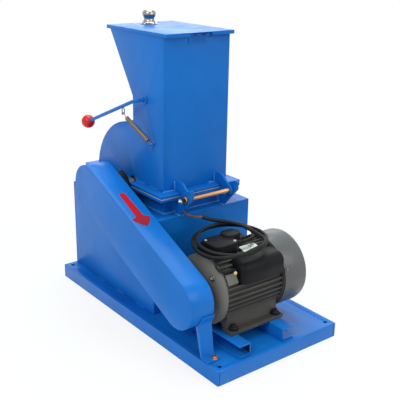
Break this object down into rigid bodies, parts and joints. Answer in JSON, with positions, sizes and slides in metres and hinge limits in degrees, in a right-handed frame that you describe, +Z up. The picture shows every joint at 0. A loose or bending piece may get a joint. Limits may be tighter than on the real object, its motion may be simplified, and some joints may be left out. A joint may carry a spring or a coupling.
{
  "type": "hammer crusher",
  "caption": "Bench hammer crusher: belt-driven mill with a hinged cover and hopper, feed lever, swing bolt and foot-mounted motor on a folded base.",
  "frame": {"origin": "under the middle of the overall box without the cord, on the plane the base stands on", "axes": "+X from the crusher to the motor, along the base; -Y towards the belt guard; +Z up"},
  "size_m": [0.8458, 0.45, 0.8524],
  "materials": {
    "blue_paint": "gloss",
    "black_iron": "semi-gloss black paint",
    "bright_steel": "turned",
    "zinc": "bright zinc plate",
    "dark_steel": "plain, slightly oiled",
    "copper_zinc": "copper coloured plate",
    "motor_grey": "satin dark grey",
    "bell_grey": "cast, grey",
    "cover_grey": "satin",
    "black_plastic": "satin",
    "rubber": "matte",
    "red_ball": "gloss",
    "cream_seal": "matte foam",
    "spring_steel": "dull",
    "stainless": "polished stainless"
  },
  "bodies": {
    "frame": {"base_pan": "blue_paint", "motor_rail_near": "blue_paint", "motor_rail_far": "blue_paint", "housing_front": "blue_paint", "housing_back": "blue_paint", "housing_near": "blue_paint", "housing_far": "blue_paint", "housing_top": "blue_paint", "lower_neck": "blue_paint", "gasket_rear": "cream_seal", "gasket_front": "cream_seal", "sieve_screen": "dark_steel", "bearing_near": "black_iron", "bearing_far": "black_iron", "hinge_ear_near": "blue_paint", "hinge_ear_far": "blue_paint", "hinge_rod": "copper_zinc", "clamp_ear_near": "blue_paint", "clamp_ear_far": "blue_paint", "clamp_pin": "black_iron", "belt_guard": "blue_paint", "guard_strap": "blue_paint", "drive_belt_outer": "rubber", "drive_belt_inner": "rubber", "motor_body": "motor_grey", "motor_bell": "bell_grey", "fan_cover": "cover_grey", "terminal_box": "black_plastic", "run_capacitor": "black_plastic", "start_capacitor": "black_plastic", "cable_gland": "black_plastic", "cord_lead": "rubber", "cord_coil": "rubber", "cord_tail": "rubber"},
    "cover": {"casing_near": "blue_paint", "casing_far": "blue_paint", "casing_curve": "blue_paint", "casing_front": "blue_paint", "hopper_back": "blue_paint", "upper_flange_rear": "blue_paint", "upper_flange_front": "blue_paint", "lid_leaf": "blue_paint", "return_spring": "spring_steel"},
    "lid": {"hopper_lid": "blue_paint", "lid_knob": "stainless"},
    "lever": {"feed_lever": "blue_paint", "lever_ball": "red_ball", "feed_flap": "dark_steel"},
    "rotor": {"rotor_shaft": "bright_steel", "hammer_rod_a": "dark_steel", "hammer_rod_b": "dark_steel", "tie_rod_a": "zinc", "tie_rod_b": "zinc", "rotor_pulley": "black_iron"},
    "hammer_a": {"hammer_a": "dark_steel"},
    "hammer_b": {"hammer_b": "dark_steel"},
    "motor_rotor": {"motor_pulley": "black_iron"},
    "swing_bolt": {"swing_bolt": "dark_steel", "clamp_knob": "zinc"}
  },
  "joints": [
    {"name": "cover_hinge", "type": "hinge", "parent": "frame", "child": "cover", "pos_m": [0.11391, 0.017, 0.373], "axis": [0, 1, 0], "range_deg": [0, 85]},
    {"name": "lid_hinge", "type": "hinge", "parent": "cover", "child": "lid", "pos_m": [0.05481, 0.017, 0.8033], "axis": [0, 1, 0], "range_deg": [0, 100]},
    {"name": "lever_pivot", "type": "hinge", "parent": "cover", "child": "lever", "pos_m": [-0.03509, -0.134, 0.6265], "axis": [0, 1, 0], "range_deg": [0, 60], "stiffness_Nm_per_rad": 2, "springref_deg": -28.65, "deforming": ["return_spring"]},
    {"name": "rotor_spin", "type": "hinge", "parent": "frame", "child": "rotor", "pos_m": [-0.10709, 0.017, 0.373], "axis": [0, 1, 0], "continuous": true},
    {"name": "hammer_a_swing", "type": "hinge", "parent": "rotor", "child": "hammer_a", "pos_m": [-0.04909, 0.017, 0.373], "axis": [0, 1, 0], "range_deg": [-190, 10]},
    {"name": "hammer_b_swing", "type": "hinge", "parent": "rotor", "child": "hammer_b", "pos_m": [-0.16509, 0.017, 0.373], "axis": [0, 1, 0], "range_deg": [-10, 190]},
    {"name": "motor_spin", "type": "hinge", "parent": "frame", "child": "motor_rotor", "pos_m": [0.25541, -0.209, 0.1771], "axis": [0, 1, 0], "continuous": true},
    {"name": "bolt_swing", "type": "hinge", "parent": "frame", "child": "swing_bolt", "pos_m": [-0.34257, 0.017, 0.342], "axis": [0, 1, 0], "range_deg": [-60, 40]}
  ],
  "couplings": [
    {"joint": "motor_spin", "follows": "rotor_spin", "ratio": 0.889}
  ]
}
